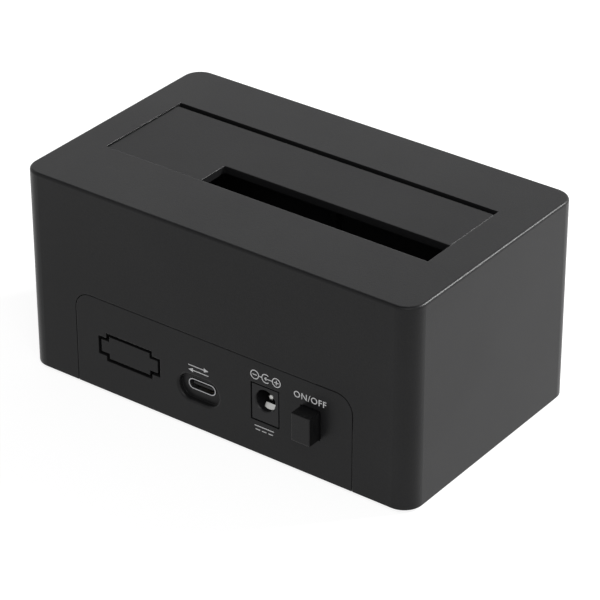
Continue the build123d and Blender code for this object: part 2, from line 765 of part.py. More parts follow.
# Torsion springs beside the lugs: one leg under the flap, one down the cradle's front wall
torsion_starts = {
    "flap_spring_left": (flap_lug_x[0] + flap_lug_width / 2 + torsion_lug_gap + torsion_wire_radius, 1),
    "flap_spring_right": (flap_lug_x[1] - flap_lug_width / 2 - torsion_lug_gap - torsion_wire_radius, -1),
}
torsion_springs = {}
for label, (start_x, sense) in torsion_starts.items():
    with BuildPart() as torsion_spring:
        with BuildLine() as torsion_line:
            coil_start, coil_end = coil_line(
                torsion_coil_radius,
                torsion_pitch,
                torsion_turns,
                90,
                90,
                lambda u, v, w: (start_x + sense * w, hinge_y + u, hinge_z + v),
            )
            Line((coil_start[0], coil_start[1] + torsion_flap_leg, coil_start[2]), coil_start)
            Line(coil_end, (coil_end[0], coil_end[1], coil_end[2] - torsion_wall_leg))
        leg_end = (coil_start[0], coil_start[1] + torsion_flap_leg, coil_start[2])
        with BuildSketch(Plane(origin=leg_end, z_dir=(0, -1, 0))):
            Circle(torsion_wire_radius)
        sweep(path=torsion_line.line)
    torsion_springs[label] = torsion_spring
    turn_gap = least_turn_gap(torsion_line.line, torsion_coil_radius, torsion_wire_radius)
    print(f"{label}: least gap between turns {turn_gap:.2f} mm")

# Drive cradle: tub with the connector window, hinge holes, guide ribs and screw ears
with BuildPart() as drive_cradle:
    with BuildSketch(Plane.XY.offset(cradle_floor_bottom)):
        with Locations((cradle_center_x, cradle_center_y)):
            RectangleRounded(
                cradle_inner_length + 2 * cradle_wall,
                cradle_inner_depth + 2 * cradle_wall,
                cradle_corner_radius + cradle_wall,
            )
    extrude(amount=shell_ceiling - cradle_floor_bottom)
    with BuildSketch(Plane.XY.offset(cradle_floor_top)):
        with Locations((cradle_center_x, cradle_center_y)):
            RectangleRounded(cradle_inner_length, cradle_inner_depth, cradle_corner_radius)
    extrude(amount=shell_ceiling - cradle_floor_top, mode=Mode.SUBTRACT)
    # Ears, hanging on the shell's bosses
    with BuildSketch(Plane.XY.offset(cradle_ear_top)):
        with Locations(*cradle_ears):
            Circle(cradle_ear_radius)
        for x, y in cradle_ears:
            wall_y = cradle_y_max + cradle_wall / 2
            if y < cradle_center_y:
                wall_y = cradle_y_min - cradle_wall / 2
            with Locations((x, (y + wall_y) / 2)):
                Rectangle(2 * cradle_ear_radius, abs(y - wall_y))
        with Locations(*cradle_ears):
            Circle(screw_passage_radius, mode=Mode.SUBTRACT)
    extrude(amount=-cradle_ear_thickness)
    # Guide ribs on the end walls and on the wall behind the drives
    rib_height = shell_ceiling - cradle_floor_top - cradle_rib_top_margin
    with BuildSketch(Plane.XY.offset(cradle_floor_top)):
        for inset in cradle_end_rib_insets:
            with Locations((cradle_x_min, bay_y_max - inset)):
                Rectangle(cradle_ease + cradle_rib_proud, cradle_rib_width, align=(Align.MIN, Align.CENTER))
            with Locations((cradle_x_max, bay_y_max - inset)):
                Rectangle(cradle_ease + cradle_rib_proud, cradle_rib_width, align=(Align.MAX, Align.CENTER))
        between_tabs_x = (flap_tab_x[0] + flap_tab_x[1]) / 2
        for rib_x in (bay_x_min + cradle_rib_inset, slot_x_max - cradle_rib_inset, between_tabs_x):
            with Locations((rib_x, cradle_y_max)):
                Rectangle(cradle_rib_width, cradle_ease, align=(Align.CENTER, Align.MAX))
    extrude(amount=rib_height)
    # Pads under the drive's end
    with BuildSketch(Plane.XY.offset(cradle_floor_top)):
        pad_offset = connector_length / 2 + cradle_pad_gap + cradle_pad_width / 2
        pad_places = (connector_x - pad_offset, connector_x + pad_offset, bay_x_max - cradle_pad_inset)
        with Locations(*[(x, cradle_y_max) for x in pad_places]):
            Rectangle(cradle_pad_width, cradle_pad_depth, align=(Align.CENTER, Align.MAX))
    extrude(amount=cradle_floor_drop - cradle_pad_drop)
    # Backstops for the folded flap
    folded_back_y = hinge_y + flap_bottom - hinge_z
    with BuildSketch(Plane.XY.offset(hinge_z - cradle_backstop_drop)):
        for stop_x in (flap_x_min + cradle_backstop_inset, bay_offset_x, flap_x_max - cradle_backstop_inset):
            with Locations((stop_x, cradle_y_min)):
                Rectangle(
                    cradle_backstop_width,
                    folded_back_y - flap_rib_height - cradle_backstop_gap - cradle_y_min,
                    align=(Align.CENTER, Align.MIN),
                )
    extrude(amount=-cradle_backstop_height)
    # Window round the connector
    with BuildSketch(Plane.XY.offset(cradle_floor_bottom)):
        with Locations((connector_x, connector_y)):
            Rectangle(
                connector_length + 2 * cradle_window_clearance,
                connector_width + 2 * cradle_window_clearance,
            )
    extrude(amount=cradle_floor_thickness, mode=Mode.SUBTRACT)
    # Hinge holes in both ends
    with BuildSketch(Plane.YZ.offset(cradle_x_min - cradle_wall)):
        with Locations((hinge_y, hinge_z)):
            Circle(hinge_rod_radius + hinge_running_clearance)
    extrude(amount=rod_length, mode=Mode.SUBTRACT)
    # Windows that the stop tabs swing through
    with BuildSketch(Plane.XZ.offset(-cradle_y_max - cradle_wall)):
        with Locations(*[(x, shell_ceiling) for x in flap_tab_x]):
            Rectangle(
                flap_tab_width + 2 * cradle_tab_window_margin,
                shell_ceiling - tab_window_bottom,
                align=(Align.CENTER, Align.MAX),
            )
    extrude(amount=cradle_wall, mode=Mode.SUBTRACT)

# Screws: where they stand, the height their heads seat at, their length, and 1 for shank up or -1 for down
screw_sets = {
    "cradle_screws": (cradle_ears, cradle_ear_top - cradle_ear_thickness, cradle_screw_length, 1),
    "base_screws": (corner_posts, base_seat_z, base_screw_length, 1),
    "board_screws": (board_posts, board_top, board_screw_length, -1),
}
screws = {}
for label, (places, seat_z, length, sense) in screw_sets.items():
    with BuildPart() as screw_set:
        with BuildSketch(Plane.XY.offset(seat_z)):
            with Locations(*places):
                Circle(screw_shank_radius)
        extrude(amount=sense * length)
        with BuildSketch(Plane.XY.offset(seat_z)):
            with Locations(*places):
                Circle(screw_head_radius)
        extrude(amount=-sense * screw_head_height)
        head_z = seat_z - sense * screw_head_height
        fillet(screw_set.edges().filter_by_position(Axis.Z, head_z, head_z), radius=screw_head_edge)
        with BuildSketch(Plane.XY.offset(head_z)):
            with Locations(*places):
                Rectangle(screw_cross_length, screw_cross_width)
                Rectangle(screw_cross_width, screw_cross_length)
        extrude(amount=sense * screw_cross_depth, mode=Mode.SUBTRACT)
    screws[label] = screw_set

# Circuit board
with BuildPart() as main_board:
    with BuildSketch(Plane.XY.offset(board_bottom)):
        with Locations(((board_x_min + board_x_max) / 2, (board_y_min + board_y_max) / 2)):
            RectangleRounded(board_x_max - board_x_min, board_y_max - board_y_min, board_corner_radius)
        with Locations(*board_posts):
            Circle(screw_passage_radius, mode=Mode.SUBTRACT)
    extrude(amount=board_thickness)

# Drive connector: the power slot is towards -X and the data slot towards +X
power_slot_x = connector_x - connector_slots_length / 2 + connector_power_slot / 2
data_slot_x = connector_x + connector_slots_length / 2 - connector_data_slot / 2
slot_floor_z = connector_top - connector_slot_depth
with BuildPart() as connector_housing:
    with BuildSketch(Plane.XY.offset(board_top)):
        with Locations((connector_x, connector_y)):
            Rectangle(connector_length, connector_width)
    extrude(amount=connector_height)
    chamfer(connector_housing.faces().sort_by(Axis.Z)[-1].edges(), length=connector_bevel)
    with BuildSketch(Plane.XY.offset(connector_top)):
        with Locations((power_slot_x, connector_y)):
            Rectangle(connector_power_slot, connector_slot_width)
        with Locations((data_slot_x, connector_y)):
            Rectangle(connector_data_slot, connector_slot_width)
        key_y = connector_y - connector_slot_width / 2
        with Locations((power_slot_x - connector_power_slot / 2, key_y)):
            Rectangle(connector_key_width, connector_key_reach, align=(Align.MIN, Align.MAX))
        with Locations((data_slot_x + connector_data_slot / 2, key_y)):
            Rectangle(connector_key_width, connector_key_reach, align=(Align.MAX, Align.MAX))
    extrude(amount=-connector_slot_depth, mode=Mode.SUBTRACT)

contact_rows = (
    (power_slot_x, power_contact_count),
    (data_slot_x, data_contact_count),
)
with BuildPart() as connector_contacts:
    with BuildSketch(Plane.XY.offset(slot_floor_z)):
        for row_x, count in contact_rows:
            with Locations((row_x, connector_y + connector_slot_width / 2 - contact_thickness / 2)):
                with GridLocations(contact_pitch, contact_thickness, count, 1):
                    Rectangle(contact_width, contact_thickness)
    extrude(amount=contact_height)

# Power jack: moulded body, centre pin, sleeve leaf and solder tabs
with BuildPart() as jack_body:
    with BuildSketch(Plane.XZ.offset(-jack_front_y)):
        with Locations((jack_x, board_top)):
            Rectangle(jack_width, jack_height, align=(Align.CENTER, Align.MIN))
    extrude(amount=jack_length)
    with BuildSketch(Plane.XZ.offset(-jack_front_y)):
        with Locations((jack_x, jack_bore_z)):
            Circle(jack_bore_radius)
    extrude(amount=jack_bore_depth, mode=Mode.SUBTRACT)
    chamfer(jack_body.edges(Select.LAST).group_by(Axis.Y)[-1], length=jack_bore_bevel)
    # Channel for the sleeve leaf, below the bore
    with BuildSketch(Plane.XZ.offset(-jack_front_y + jack_leaf_setback)):
        with Locations((jack_x, jack_bore_z - jack_bore_radius - jack_leaf_thickness)):
            Rectangle(jack_leaf_width, jack_bore_radius, align=(Align.CENTER, Align.MIN))
    extrude(amount=jack_leaf_length, mode=Mode.SUBTRACT)

with BuildPart() as jack_pin:
    pin_tip_y = jack_front_y - jack_pin_setback
    with BuildSketch(Plane.XZ.offset(-pin_tip_y)):
        with Locations((jack_x, jack_bore_z)):
            Circle(jack_pin_radius)
    extrude(amount=pin_tip_y - jack_bore_end_y)
    fillet(jack_pin.edges().group_by(Axis.Y)[-1], radius=jack_pin_tip_radius)

leaf_front_y = jack_front_y - jack_leaf_setback
leaf_back_y = leaf_front_y - jack_leaf_length
leaf_floor_z = jack_bore_z - jack_bore_radius - jack_leaf_thickness
with BuildPart() as jack_leaf:
    with BuildSketch(Plane.YZ.offset(jack_x - jack_leaf_width / 2)):
        with BuildLine():
            crest_y = leaf_front_y - jack_leaf_lip_length
            crest_z = leaf_floor_z + jack_leaf_rise
            bow_y = (crest_y + leaf_back_y) / 2
            bow_z = leaf_floor_z + jack_leaf_rise * jack_leaf_bow_share
            ThreePointArc((leaf_back_y, leaf_floor_z), (bow_y, bow_z), (crest_y, crest_z))
            Polyline(
                (crest_y, crest_z),
                (leaf_front_y, leaf_floor_z),
                (leaf_front_y, leaf_floor_z + jack_leaf_thickness),
                (crest_y, crest_z + jack_leaf_thickness),
            )
            ThreePointArc(
                (crest_y, crest_z + jack_leaf_thickness),
                (bow_y, bow_z + jack_leaf_thickness),
                (leaf_back_y, leaf_floor_z + jack_leaf_thickness),
            )
            Line((leaf_back_y, leaf_floor_z + jack_leaf_thickness), (leaf_back_y, leaf_floor_z))
        make_face()
    extrude(amount=jack_leaf_width)

with BuildPart() as jack_tabs:
    with BuildSketch(Plane.XY.offset(board_top)):
        with Locations(*[(jack_x, jack_rear_y + inset) for inset in jack_tab_insets]):
            Rectangle(jack_tab_width, jack_tab_thickness)
    extrude(amount=-board_thickness - jack_tab_tail)

# Openings in the board for the tabs and pins that pass through it
switch_middle_y = (switch_front_y + switch_rear_y) / 2
switch_pins = [
    (button_x + side * switch_pin_row_spread / 2, switch_middle_y + row * switch_pin_pitch)
    for side in (-1, 1)
    for row in (-1, 0, 1)
]
with main_board:
    with BuildSketch(Plane.XY.offset(board_bottom)):
        with Locations(*[(jack_x, jack_rear_y + inset) for inset in jack_tab_insets]):
            Rectangle(jack_tab_width, jack_tab_thickness)
        with Locations(*switch_pins):
            Rectangle(switch_pin_thickness, switch_pin_width)
    extrude(amount=board_thickness, mode=Mode.SUBTRACT)

# Data socket: drawn steel shell, insulator with its tongue, and contact strips on the tongue
with BuildPart() as socket_shell:
    with BuildSketch(Plane.XZ.offset(-socket_front_y)):
        with Locations((socket_x, socket_z)):
            SlotOverall(socket_width, socket_thickness)
            SlotOverall(
                socket_width - 2 * socket_shell_wall,
                socket_thickness - 2 * socket_shell_wall,
                mode=Mode.SUBTRACT,
            )
    extrude(amount=socket_length)

tongue_front_y = socket_front_y - socket_tongue_setback
with BuildPart() as socket_insulator:
    with BuildSketch(Plane.XZ.offset(-socket_rear_y - socket_back_block)):
        with Locations((socket_x, socket_z)):
            SlotOverall(socket_width - 2 * socket_shell_wall, socket_thickness - 2 * socket_shell_wall)
    extrude(amount=socket_back_block)
    with BuildSketch(Plane.XZ.offset(-tongue_front_y)):
        with Locations((socket_x, socket_z)):
            Rectangle(socket_tongue_width, socket_tongue_thickness)
    extrude(amount=tongue_front_y - socket_rear_y)

with BuildPart() as socket_stand:
    with BuildSketch(Plane.XY.offset(board_top)):
        with Locations((socket_x, socket_rear_y + socket_stand_inset)):
            Rectangle(
                socket_stand_width,
                board_y_max - 2 * socket_stand_inset - socket_rear_y,
                align=(Align.CENTER, Align.MIN),
            )
    extrude(amount=socket_z - socket_thickness / 2 - board_top)

with BuildPart() as socket_contacts:
    for strip_z in (
        socket_z + socket_tongue_thickness / 2,
        socket_z - socket_tongue_thickness / 2 - socket_contact_thickness,
    ):
        with BuildSketch(Plane.XY.offset(strip_z)):
            with Locations((socket_x, tongue_front_y - socket_contact_setback - socket_contact_length / 2)):
                with GridLocations(socket_contact_pitch, socket_contact_length, socket_contact_count, 1):
                    Rectangle(socket_contact_width, socket_contact_length)
        extrude(amount=socket_contact_thickness)

# Power switch: body with a guided plunger, return spring, pins, and the button cap on the stem
with BuildPart() as switch_body:
    with BuildSketch(Plane.XZ.offset(-switch_front_y)):
        with Locations((button_x, board_top)):
            Rectangle(switch_width, switch_height, align=(Align.CENTER, Align.MIN))
    extrude(amount=switch_length)
    with BuildSketch(Plane.XZ.offset(-plunger_front_y)):
        with Locations((button_x, button_z)):
            Rectangle(plunger_width + 2 * plunger_clearance, plunger_width + 2 * plunger_clearance)
    extrude(amount=plunger_front_y - switch_cavity_end_y, mode=Mode.SUBTRACT)
    with BuildSketch(Plane.XZ.offset(-switch_front_y)):
        with Locations((button_x, button_z)):
            Rectangle(
                switch_stem_width + 2 * switch_stem_clearance,
                switch_stem_width + 2 * switch_stem_clearance,
            )
    extrude(amount=switch_front_wall, mode=Mode.SUBTRACT)

stem_tip_y = button_back_y + button_socket_depth
with BuildPart() as switch_plunger:
    with BuildSketch(Plane.XZ.offset(-plunger_front_y)):
        with Locations((button_x, button_z)):
            Rectangle(plunger_width, plunger_width)
    extrude(amount=plunger_length)
    with BuildSketch(Plane.XZ.offset(-stem_tip_y)):
        with Locations((button_x, button_z)):
            Rectangle(switch_stem_width, switch_stem_width)
    extrude(amount=stem_tip_y - plunger_front_y)

with BuildPart() as button_cap:
    with BuildSketch(Plane.XZ.offset(-rear_face_y - button_proud)):
        with Locations((button_x, button_z)):
            Rectangle(button_width, button_tallness)
    extrude(amount=rear_face_y + button_proud - button_back_y)
    fillet(button_cap.faces().sort_by(Axis.Y)[-1].edges(), radius=button_edge_radius)
    with BuildSketch(Plane.XZ.offset(-button_flange_y)):
        with Locations((button_x, button_z)):
            Rectangle(
                button_width + 2 * (button_panel_gap + button_flange),
                button_tallness + 2 * (button_panel_gap + button_flange),
            )
    extrude(amount=button_flange)
    with BuildSketch(Plane.XZ.offset(-stem_tip_y)):
        with Locations((button_x, button_z)):
            Rectangle(
                switch_stem_width + 2 * button_socket_clearance,
                switch_stem_width + 2 * button_socket_clearance,
            )
    extrude(amount=button_socket_depth, mode=Mode.SUBTRACT)

switch_spring_pitch = (switch_spring_length - 2 * switch_spring_wire_radius) / switch_spring_turns
with BuildPart() as switch_spring:
    with BuildLine() as spring_line:
        coil_line(
            switch_spring_radius,
            switch_spring_pitch,
            switch_spring_turns,
            0,
            0,
            lambda u, v, w: (
                button_x + u,
                switch_cavity_end_y + switch_spring_wire_radius + w,
                button_z + v,
            ),
        )
    with BuildSketch(Plane(origin=spring_line.line @ 0, z_dir=spring_line.line % 0)):
        Circle(switch_spring_wire_radius)
    sweep(path=spring_line.line)
turn_gap = least_turn_gap(spring_line.line, switch_spring_radius, switch_spring_wire_radius)
print(f"power_switch_spring: least gap between turns {turn_gap:.2f} mm")

with BuildPart() as switch_pins_part:
    with BuildSketch(Plane.XY.offset(board_top)):
        with Locations(*switch_pins):
            Rectangle(switch_pin_thickness, switch_pin_width)
    extrude(amount=-board_thickness - switch_pin_tail)

# Filler plate of the blanked port, with a flange that seats on the inside of the panel
with BuildPart() as port_blank:
    with BuildSketch(rear_plane.offset(blank_sink)):
        with Locations(blank_place):
            Rectangle(blank_ear_span - 2 * blank_groove, blank_ear_height - 2 * blank_groove)
            Rectangle(blank_body_span - 2 * blank_groove, blank_body_height - 2 * blank_groove)
    extrude(amount=panel_thickness - blank_sink)
    with BuildSketch(rear_plane.offset(panel_thickness)):
        with Locations(blank_place):
            Rectangle(
                blank_ear_span + 2 * blank_flange_overlap,
                blank_ear_height + 2 * blank_flange_overlap,
            )
            Rectangle(
                blank_body_span + 2 * blank_flange_overlap,
                blank_body_height + 2 * blank_flange_overlap,
            )
    extrude(amount=blank_flange_thickness)

# Status light: clear pipe in the front wall, and the lamp behind it on bent leads
light_wall_inner_y = front_face_y + case_wall
with BuildPart() as light_pipe:
    with BuildSketch(front_plane):
        with Locations(light_place):
            Circle(light_pipe_radius)
    extrude(amount=-case_wall - light_pipe_tail)
    with BuildSketch(Plane.XZ.offset(-light_wall_inner_y)):
        with Locations(light_place):
            Circle(light_flange_radius)
    extrude(amount=-light_flange_thickness)

led_tip_y = light_wall_inner_y + light_pipe_tail + led_gap
led_back_y = led_tip_y + led_length
with BuildPart() as status_led:
    with BuildSketch(Plane.XZ.offset(-led_back_y)):
        with Locations(light_place):
            Circle(led_radius)
    extrude(amount=led_length)
    fillet(status_led.edges().group_by(Axis.Y)[0], radius=led_dome_radius)
    with BuildSketch(Plane.XZ.offset(-led_back_y)):
        with Locations(light_place):
            Circle(led_base_radius)
    extrude(amount=led_base_thickness)

with BuildPart() as led_leads:
    for side in (-1, 1):
        lead_x = light_x + side * led_lead_spread
        with BuildLine() as lead_line:
            FilletPolyline(
                (lead_x, led_back_y, light_z),
                (lead_x, led_back_y + led_lead_run, light_z),
                (lead_x, led_back_y + led_lead_run, board_top),
                radius=led_lead_bend_radius,
            )
        with BuildSketch(Plane(origin=(lead_x, led_back_y, light_z), z_dir=(0, 1, 0))):
            Circle(led_lead_radius)
        sweep(path=lead_line.line)

# Chips and the crystal, bevelled blocks on the board
chip_sets = {
    "bridge_chip": (bridge_chip_size, bridge_chip_place_shares),
    "flash_chip": (flash_chip_size, flash_chip_place_shares),
    "regulator_chip": (regulator_chip_size, regulator_chip_place_shares),
    "clock_crystal": (crystal_size, crystal_place_shares),
}
chips = {}
for label, (size, place_shares) in chip_sets.items():
    with BuildPart() as chip:
        with BuildSketch(Plane.XY.offset(board_top)):
            with Locations(board_place(place_shares)):
                Rectangle(size[0], size[1])
        extrude(amount=size[2])
        chamfer(chip.edges().group_by(Axis.Z)[-1], length=chip_edge_bevel)
    chips[label] = chip

with BuildPart() as power_inductors:
    inductor_places = [board_place(shares) for shares in inductor_place_shares]
    with BuildSketch(Plane.XY.offset(board_top)):
        with Locations(*inductor_places):
            RectangleRounded(inductor_size[0], inductor_size[1], inductor_corner_radius)
    extrude(amount=inductor_size[2])
    with BuildSketch(Plane.XY.offset(board_top + inductor_size[2])):
        with Locations(*inductor_places):
            Circle(inductor_core_radius)
    extrude(amount=-inductor_core_depth, mode=Mode.SUBTRACT)

with BuildPart() as can_capacitors:
    can_places = [board_place(shares) for shares in can_capacitor_place_shares]
    with BuildSketch(Plane.XY.offset(board_top)):
        with Locations(*can_places):
            Rectangle(2 * can_capacitor_radius, 2 * can_capacitor_radius)
    extrude(amount=can_capacitor_base)
    with BuildSketch(Plane.XY.offset(board_top + can_capacitor_base)):
        with Locations(*can_places):
            Circle(can_capacitor_radius)
    extrude(amount=can_capacitor_height - can_capacitor_base)
    fillet(can_capacitors.edges().group_by(Axis.Z)[-1], radius=can_capacitor_top_radius)

with BuildPart() as chip_capacitors:
    with BuildSketch(Plane.XY.offset(board_top)):
        with Locations(board_place(chip_capacitor_place_shares)):
            with GridLocations(
                chip_capacitor_column_pitch,
                chip_capacitor_row_pitch,
                chip_capacitor_column_count,
                chip_capacitor_row_count,
            ):
                Rectangle(chip_capacitor_size[0], chip_capacitor_size[1])
    extrude(amount=chip_capacitor_size[2])

pieces = {
    "top_shell": top_shell,
    "base_tray": base_tray,
    **feet,
    "dust_flap": dust_flap,
    "flap_hinge_rod": hinge_rod,
    **torsion_springs,
    "drive_cradle": drive_cradle,
    **screws,
    "main_board": main_board,
    "drive_connector_housing": connector_housing,
    "drive_connector_contacts": connector_contacts,
    "power_jack_body": jack_body,
    "power_jack_pin": jack_pin,
    "power_jack_leaf": jack_leaf,
    "power_jack_tabs": jack_tabs,
    "data_socket_shell": socket_shell,
    "data_socket_insulator": socket_insulator,
    "data_socket_stand": socket_stand,
    "data_socket_contacts": socket_contacts,
    "power_switch_body": switch_body,
    "power_switch_plunger": switch_plunger,
    "power_switch_spring": switch_spring,
    "power_switch_pins": switch_pins_part,
    "power_button": button_cap,
    "spare_port_blank": port_blank,
    "light_pipe": light_pipe,
    "status_led": status_led,
    "status_led_leads": led_leads,
    **chips,
    "power_inductors": power_inductors,
    "can_capacitors": can_capacitors,
    "chip_capacitors": chip_capacitors,
}
for label, piece in pieces.items():
    piece.part.label = label
    export_step(piece.part, f"parts/{label}.step")
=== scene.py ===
"""Looks of the hard drive docking station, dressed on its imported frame. All sizes are in metres."""

import json
from math import cos, pi, radians, sin

import bpy
from mathutils import Matrix, Vector


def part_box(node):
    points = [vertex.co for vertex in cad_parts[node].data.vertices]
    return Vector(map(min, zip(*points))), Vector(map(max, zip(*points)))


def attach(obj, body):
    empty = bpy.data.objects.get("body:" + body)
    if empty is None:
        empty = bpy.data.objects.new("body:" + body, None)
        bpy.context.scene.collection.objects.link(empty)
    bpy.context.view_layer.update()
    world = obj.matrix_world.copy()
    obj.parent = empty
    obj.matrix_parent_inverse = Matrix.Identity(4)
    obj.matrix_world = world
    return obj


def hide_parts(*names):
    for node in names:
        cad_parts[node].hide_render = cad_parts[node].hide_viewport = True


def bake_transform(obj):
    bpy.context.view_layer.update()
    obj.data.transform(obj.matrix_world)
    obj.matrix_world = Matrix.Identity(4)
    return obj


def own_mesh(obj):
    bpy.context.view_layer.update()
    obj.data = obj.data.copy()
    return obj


# Camera
camera_azimuth = radians(216.74)  # from the -Y axis, towards +X
camera_elevation = radians(30.54)
camera_distance = 0.805
camera_roll = radians(-0.14)
camera_aim_right = 0.0007  # the aim lies this far off the middle of the case's lower edge
camera_aim_up = 0.0199
camera_lens = 179.2  # millimetres on a sensor of the width below
camera_sensor = 36.0
camera_clip_start = 0.01

# Light
key_direction = (-0.48, -0.64, 0.60)
key_distance = 1.1
key_size = 0.34
key_power = 20.0
fill_direction = (-0.46, 0.58, 0.67)
fill_distance = 1.2
fill_size = 0.8
fill_power = 4.5
world_level = 0.32
ceiling_level = 0.05  # above the white backdrop
backdrop_top = 0.68  # sine of the elevation where the backdrop ends
backdrop_fade = 0.08
floor_size = 6.0
floor_drop = 0.00002  # the floor lies this far under the feet, so that no two faces share a plane
floor_tone = 0.30
floor_bounce_tone = 0.40  # for the light that the floor sends back to the object
floor_lift = 0.86  # glow added where the floor is seen

# Colours, linear
case_dark = (0.0085, 0.0085, 0.0090)
case_light = (0.0130, 0.0130, 0.0135)
flap_dark = (0.0080, 0.0080, 0.0085)
flap_light = (0.0120, 0.0120, 0.0125)
button_dark = (0.0070, 0.0070, 0.0074)
button_light = (0.0100, 0.0100, 0.0104)
cradle_dark = (0.010, 0.010, 0.011)
cradle_light = (0.016, 0.016, 0.017)
rubber_dark = (0.020, 0.020, 0.020)
rubber_light = (0.032, 0.032, 0.031)
connector_dark = (0.009, 0.009, 0.010)
connector_light = (0.014, 0.014, 0.015)
chip_dark = (0.012, 0.012, 0.013)
chip_light = (0.020, 0.020, 0.020)
gold_color = (0.83, 0.62, 0.28)
nickel_color = (0.50, 0.50, 0.49)
socket_color = (0.42, 0.42, 0.43)
spring_color = (0.52, 0.52, 0.53)
screw_color = (0.34, 0.34, 0.35)
can_color = (0.80, 0.80, 0.80)
ceramic_dark = (0.36, 0.25, 0.15)
ceramic_light = (0.50, 0.37, 0.24)
mask_dark = (0.010, 0.085, 0.035)
mask_light = (0.022, 0.150, 0.060)
clear_color = (0.90, 0.92, 0.93)
ink_color = (0.88, 0.88, 0.89)

# Noise and edges, for every material that uses them
noise_low = 0.3  # noise under this counts as its lowest, and over the next as its highest
noise_high = 0.7
bevel_samples = 6

# Moulded plastics
grain_size = 0.00034
grain_depth = 0.000022
grain_roughness = 0.6
fine_grain_size = 0.00016
tone_drift_size = 0.035
speckle_low = 0.75  # drift and grain added up, where the plastic is darkest and lightest
speckle_high = 1.25
cell_share = 0.6  # heights of cells and fine grain against that of the grain
fine_share = 0.4
polish_swing = 0.05
edge_softness = 0.00022
edge_band = 0.00045
edge_start = 0.995  # cosine of the normal's lean where an edge begins, and where it is full
edge_full = 0.80
painted_edge_highlight = 0.25  # how much lighter the edges are painted, a painted highlight along every sharp edge
# how far the painted edge highlight is laid over the plastic's colour
painted_edge_highlight_cover = 0.6
edge_polish = 0.22  # how much smoother they are

# Glossy plastics
flow_size = 0.006
flow_stretch = (1, 1, 0.4)
flow_roughness = 0.08
ripple_size = 0.0009
ripple_depth = 0.000012
glossy_edge_softness = 0.00012

# Rubber
rubber_roughness = 0.85
rubber_specular = 0.25
dust_size = 0.004
pore_size = 0.00035
pore_depth = 0.00003

# Metals
metal_mark_size = 0.0012
metal_mark_tone = 0.82
metal_mark_low = 0.25  # noise at the smoothest and the roughest marks
metal_mark_high = 0.75
metal_smoothest = 0.8  # roughness there, as shares of the metal's own
metal_roughest = 1.3
metal_mark_depth = 0.000006
metal_edge_softness = 0.00006

# Circuit board
mask_roughness = 0.32
track_scale = 160.0
track_gap = 0.06
track_depth = 0.00004
mask_edge_softness = 0.00008

# Clear plastics
clear_transmission = 0.85
clear_refraction = 1.49
clear_ripple_size = 0.0012
clear_ripple_depth = 0.00001
clear_edge_softness = 0.00008

# Ink
ink_roughness = 0.55
ink_specular = 0.3
ink_cover_size = 0.0003
ink_cover_depth = 0.00001
ink_thin_tone = 0.82

# Printed marks on the port panel
ink_height = 0.00003
ink_lift = 0.00001
mark_line = 0.00026
curve_steps = 40
switch_mark_x = -0.0316
switch_mark_z = 0.02360
switch_mark_width = 0.0101
switch_mark_spacing = 1.12
switch_mark_weight = 0.006  # how far the letters are thickened, as a share of their size
symbol_z = 0.0246
symbol_x = {"minus": -0.0141, "center": -0.01765, "plus": -0.0210}
symbol_radius = 0.00125
symbol_opening = radians(50)
symbol_dot_radius = 0.00042
symbol_bar = 0.0014
arrow_mark_x = 0.0043
arrow_mark_z = 0.01905
arrow_length = 0.0066
arrow_head_length = 0.0015
arrow_head_width = 0.00125
arrow_gap = 0.00135
current_mark_x = -0.0170
current_mark_z = 0.0088
current_mark_width = 0.0062
current_line_gap = 0.0011
current_dash_count = 3
current_dash_share = 0.7


# Helpers

def add_object(name, data):
    """A new object with this data, in the scene's collection."""
    made = bpy.data.objects.new(name, data)
    bpy.context.collection.objects.link(made)
    return made


def start_material(name, color, roughness, metallic=0.0, specular=0.5):
    """A new material with its Principled shader set; returns the material and its node tree."""
    made = bpy.data.materials.new(name)
    made.use_nodes = True
    tree = made.node_tree
    shader = tree.nodes["Principled BSDF"]
    shader.inputs["Base Color"].default_value = (*color, 1)
    shader.inputs["Roughness"].default_value = roughness
    shader.inputs["Metallic"].default_value = metallic
    shader.inputs["Specular IOR Level"].default_value = specular
    return made, tree


def shader_input(tree, name):
    return tree.nodes["Principled BSDF"].inputs[name]


def add_noise(tree, size, detail=3.0, roughness=0.55, stretch=(1, 1, 1)):
    """Noise whose cells are about this many metres across, in the object's own space."""
    coordinates = tree.nodes.new("ShaderNodeTexCoord")
    mapping = tree.nodes.new("ShaderNodeMapping")
    mapping.inputs["Scale"].default_value = stretch
    noise = tree.nodes.new("ShaderNodeTexNoise")
    noise.inputs["Scale"].default_value = 1 / size
    noise.inputs["Detail"].default_value = detail
    noise.inputs["Roughness"].default_value = roughness
    tree.links.new(coordinates.outputs["Object"], mapping.inputs["Vector"])
    tree.links.new(mapping.outputs["Vector"], noise.inputs["Vector"])
    return noise.outputs["Fac"]


def add_cells(tree, size):
    """Distance field of rounded cells about this many metres across."""
    coordinates = tree.nodes.new("ShaderNodeTexCoord")
    cells = tree.nodes.new("ShaderNodeTexVoronoi")
    cells.feature = "SMOOTH_F1"
    cells.inputs["Scale"].default_value = 1 / size
    tree.links.new(coordinates.outputs["Object"], cells.inputs["Vector"])
    return cells.outputs["Distance"]


def add_math(tree, operation, first, second):
    """Result of an operation on two values; each is a number or a socket."""
    node = tree.nodes.new("ShaderNodeMath")
    node.operation = operation
    for socket, value in zip(node.inputs, (first, second)):
        if isinstance(value, (int, float)):
            socket.default_value = value
        else:
            tree.links.new(value, socket)
    return node.outputs["Value"]


def add_range(tree, value, from_low, from_high, to_low, to_high):
    """The value carried over from one range to the other, and held at its ends."""
    node = tree.nodes.new("ShaderNodeMapRange")
    node.inputs["From Min"].default_value = from_low
    node.inputs["From Max"].default_value = from_high
    node.inputs["To Min"].default_value = to_low
    node.inputs["To Max"].default_value = to_high
    tree.links.new(value, node.inputs["Value"])
    return node.outputs["Result"]


